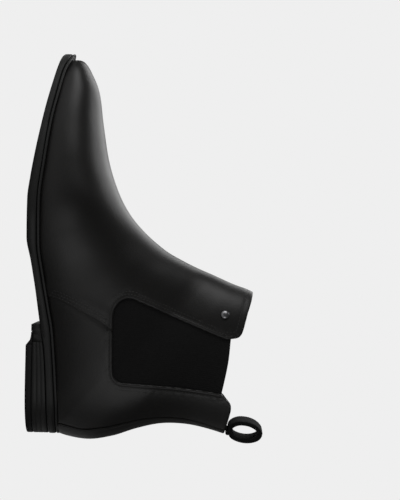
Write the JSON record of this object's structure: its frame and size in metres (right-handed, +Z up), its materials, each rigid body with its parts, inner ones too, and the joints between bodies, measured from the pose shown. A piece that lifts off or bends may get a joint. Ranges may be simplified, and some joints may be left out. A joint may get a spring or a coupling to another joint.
{
  "type": "chelsea boot",
  "caption": "Left leather ankle boot with an elastic side gore, an inner-side zip with a leather pull, a low stacked heel and a woven pull loop.",
  "frame": {"origin": "on the heel's ground face, on the boot's centre line, 37 mm in front of the back of the heel", "axes": "+Z up, the toe points along -X, the outer (lateral) side faces -Y and the inner side with the zip faces +Y"},
  "size_m": [0.3074, 0.1007, 0.1873],
  "materials": {
    "upper_leather": "smooth black calf leather with a soft satin shine",
    "elastic": "matt black ribbed elastic",
    "sole": "black, satin edge",
    "heel_stack": "black, satin edge",
    "heel_rubber": "black, matt",
    "lining": "matt black lining",
    "insole_cover": "matt black lining",
    "board": "matt pressed fibre",
    "cork": "matt cork paste",
    "steel": "plain",
    "stud_metal": "polished dark nickel",
    "zip_metal": "gunmetal",
    "tape": "matt black woven tape",
    "foam": "soft foam",
    "stiffener": "resin-stiffened cloth"
  },
  "bodies": {
    "boot": {"outsole": "sole", "welt": "sole", "heel_block": "heel_stack", "heel_top_piece": "heel_rubber", "heel_nail_1": "steel", "heel_nail_2": "steel", "heel_nail_3": "steel", "heel_nail_4": "steel", "heel_nail_5": "steel", "insole_board": "board", "shank": "steel", "cork_filler": "cork", "sock_liner": "insole_cover", "heel_pad": "foam", "vamp": "upper_leather", "quarter_lateral": "upper_leather", "quarter_medial": "upper_leather", "back_strip": "upper_leather", "gore_lateral": "elastic", "lining_front": "lining", "lining_rear": "lining", "toe_puff": "stiffener", "heel_counter": "stiffener", "zip_tape_front": "tape", "zip_tape_rear": "tape", "zip_teeth_front": "zip_metal", "zip_teeth_rear": "zip_metal", "zip_top_stop_front": "zip_metal", "zip_top_stop_rear": "zip_metal", "zip_bottom_stop": "zip_metal", "zip_guard": "lining", "stud": "stud_metal", "stud_washer": "steel", "pull_loop_anchor": "tape"},
    "slider": {"zip_slider": "zip_metal"},
    "ring": {"pull_ring": "zip_metal"},
    "tab": {"pull_tab": "upper_leather"},
    "loop": {"pull_loop": "tape"}
  },
  "joints": [
    {"name": "zip_slide", "type": "slide", "parent": "boot", "child": "slider", "axis": [-0.2125, 0.0817, -0.9738], "range_m": [0, 0.076]},
    {"name": "ring_swing", "type": "hinge", "parent": "slider", "child": "ring", "pos_m": [-0.0179, 0.03497, 0.14497], "axis": [0.977, 0, -0.2132], "range_deg": [0, 110]},
    {"name": "tab_swing", "type": "hinge", "parent": "ring", "child": "tab", "pos_m": [-0.01972, 0.03567, 0.1366], "axis": [0.977, 0, -0.2132], "range_deg": [0, 70]},
    {"name": "loop_bend", "type": "hinge", "parent": "boot", "child": "loop", "pos_m": [0.0324, 0, 0.1594], "axis": [-0.1219, 0.9925, 0], "range_deg": [-20, 50], "stiffness_Nm_per_rad": 0.02}
  ]
}
